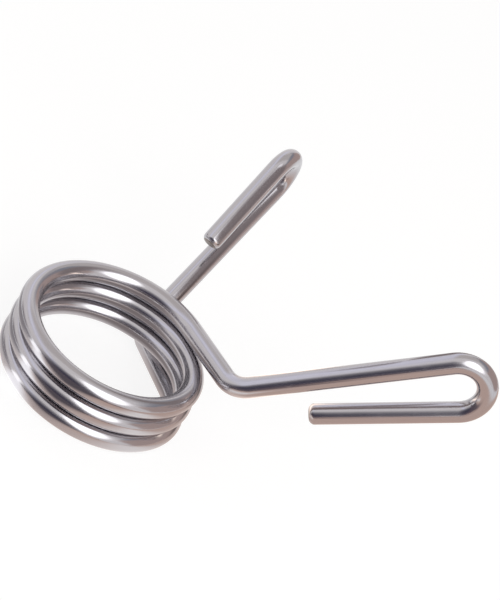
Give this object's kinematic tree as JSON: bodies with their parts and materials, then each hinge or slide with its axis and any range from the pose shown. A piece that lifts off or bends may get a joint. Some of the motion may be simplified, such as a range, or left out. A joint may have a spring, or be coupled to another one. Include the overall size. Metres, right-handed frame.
{
  "type": "hand grip strengthener",
  "caption": "Hand grip of bright spring wire: a close-wound torsion coil between splayed, raised arms that end in hairpin hooks and are squeezed together in the palm.",
  "frame": {"origin": "middle of the coil, on its axis and halfway between its ends", "axes": "+Z along the coil's axis, towards the end that carries the upper arm and the way both arms climb; +X from the coil out between the arms"},
  "size_m": [0.1167, 0.1168, 0.0704],
  "materials": {
    "bright_wire": "bright plated spring wire with fine draw lines"
  },
  "bodies": {
    "coil_and_lower_arm": {"coil": "bright_wire", "lower_arm": "bright_wire"},
    "upper_arm": {"upper_arm": "bright_wire"}
  },
  "joints": [
    {"name": "squeeze", "type": "hinge", "parent": "coil_and_lower_arm", "child": "upper_arm", "pos_m": [0, 0, 0], "axis": [0, 0, 1], "range_deg": [0, 50], "stiffness_Nm_per_rad": 31.6, "deforming": ["coil"]}
  ]
}
